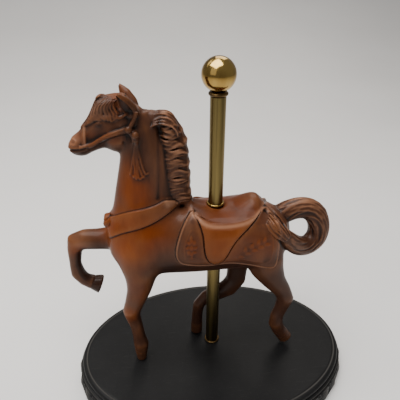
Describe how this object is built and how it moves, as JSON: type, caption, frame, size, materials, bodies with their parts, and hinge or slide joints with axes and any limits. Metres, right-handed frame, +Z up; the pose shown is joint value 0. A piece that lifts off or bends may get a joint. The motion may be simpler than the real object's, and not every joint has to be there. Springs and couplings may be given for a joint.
{
  "type": "carousel horse figurine",
  "caption": "Carved carousel horse with saddle, bridle and raised foreleg on a brass pole with a ball, over an oval black base with a carved edge",
  "frame": {"origin": "on the table, under the middle of the oval base", "axes": "+Z up, the horse faces -X, and its near side, the pictured one, faces -Y"},
  "size_m": [0.281, 0.192, 0.3189],
  "materials": {
    "base": "satin black paint, lightly worn",
    "horse": "wood-toned cast resin, satin, dark patina in the carving",
    "brass": "polished, slightly aged"
  },
  "bodies": {
    "root": {"base": "base", "horse": "horse", "pole": "brass", "saddle_ring": "brass", "base_ring": "brass", "pole_collar": "brass", "finial_ball": "brass"}
  },
  "joints": []
}
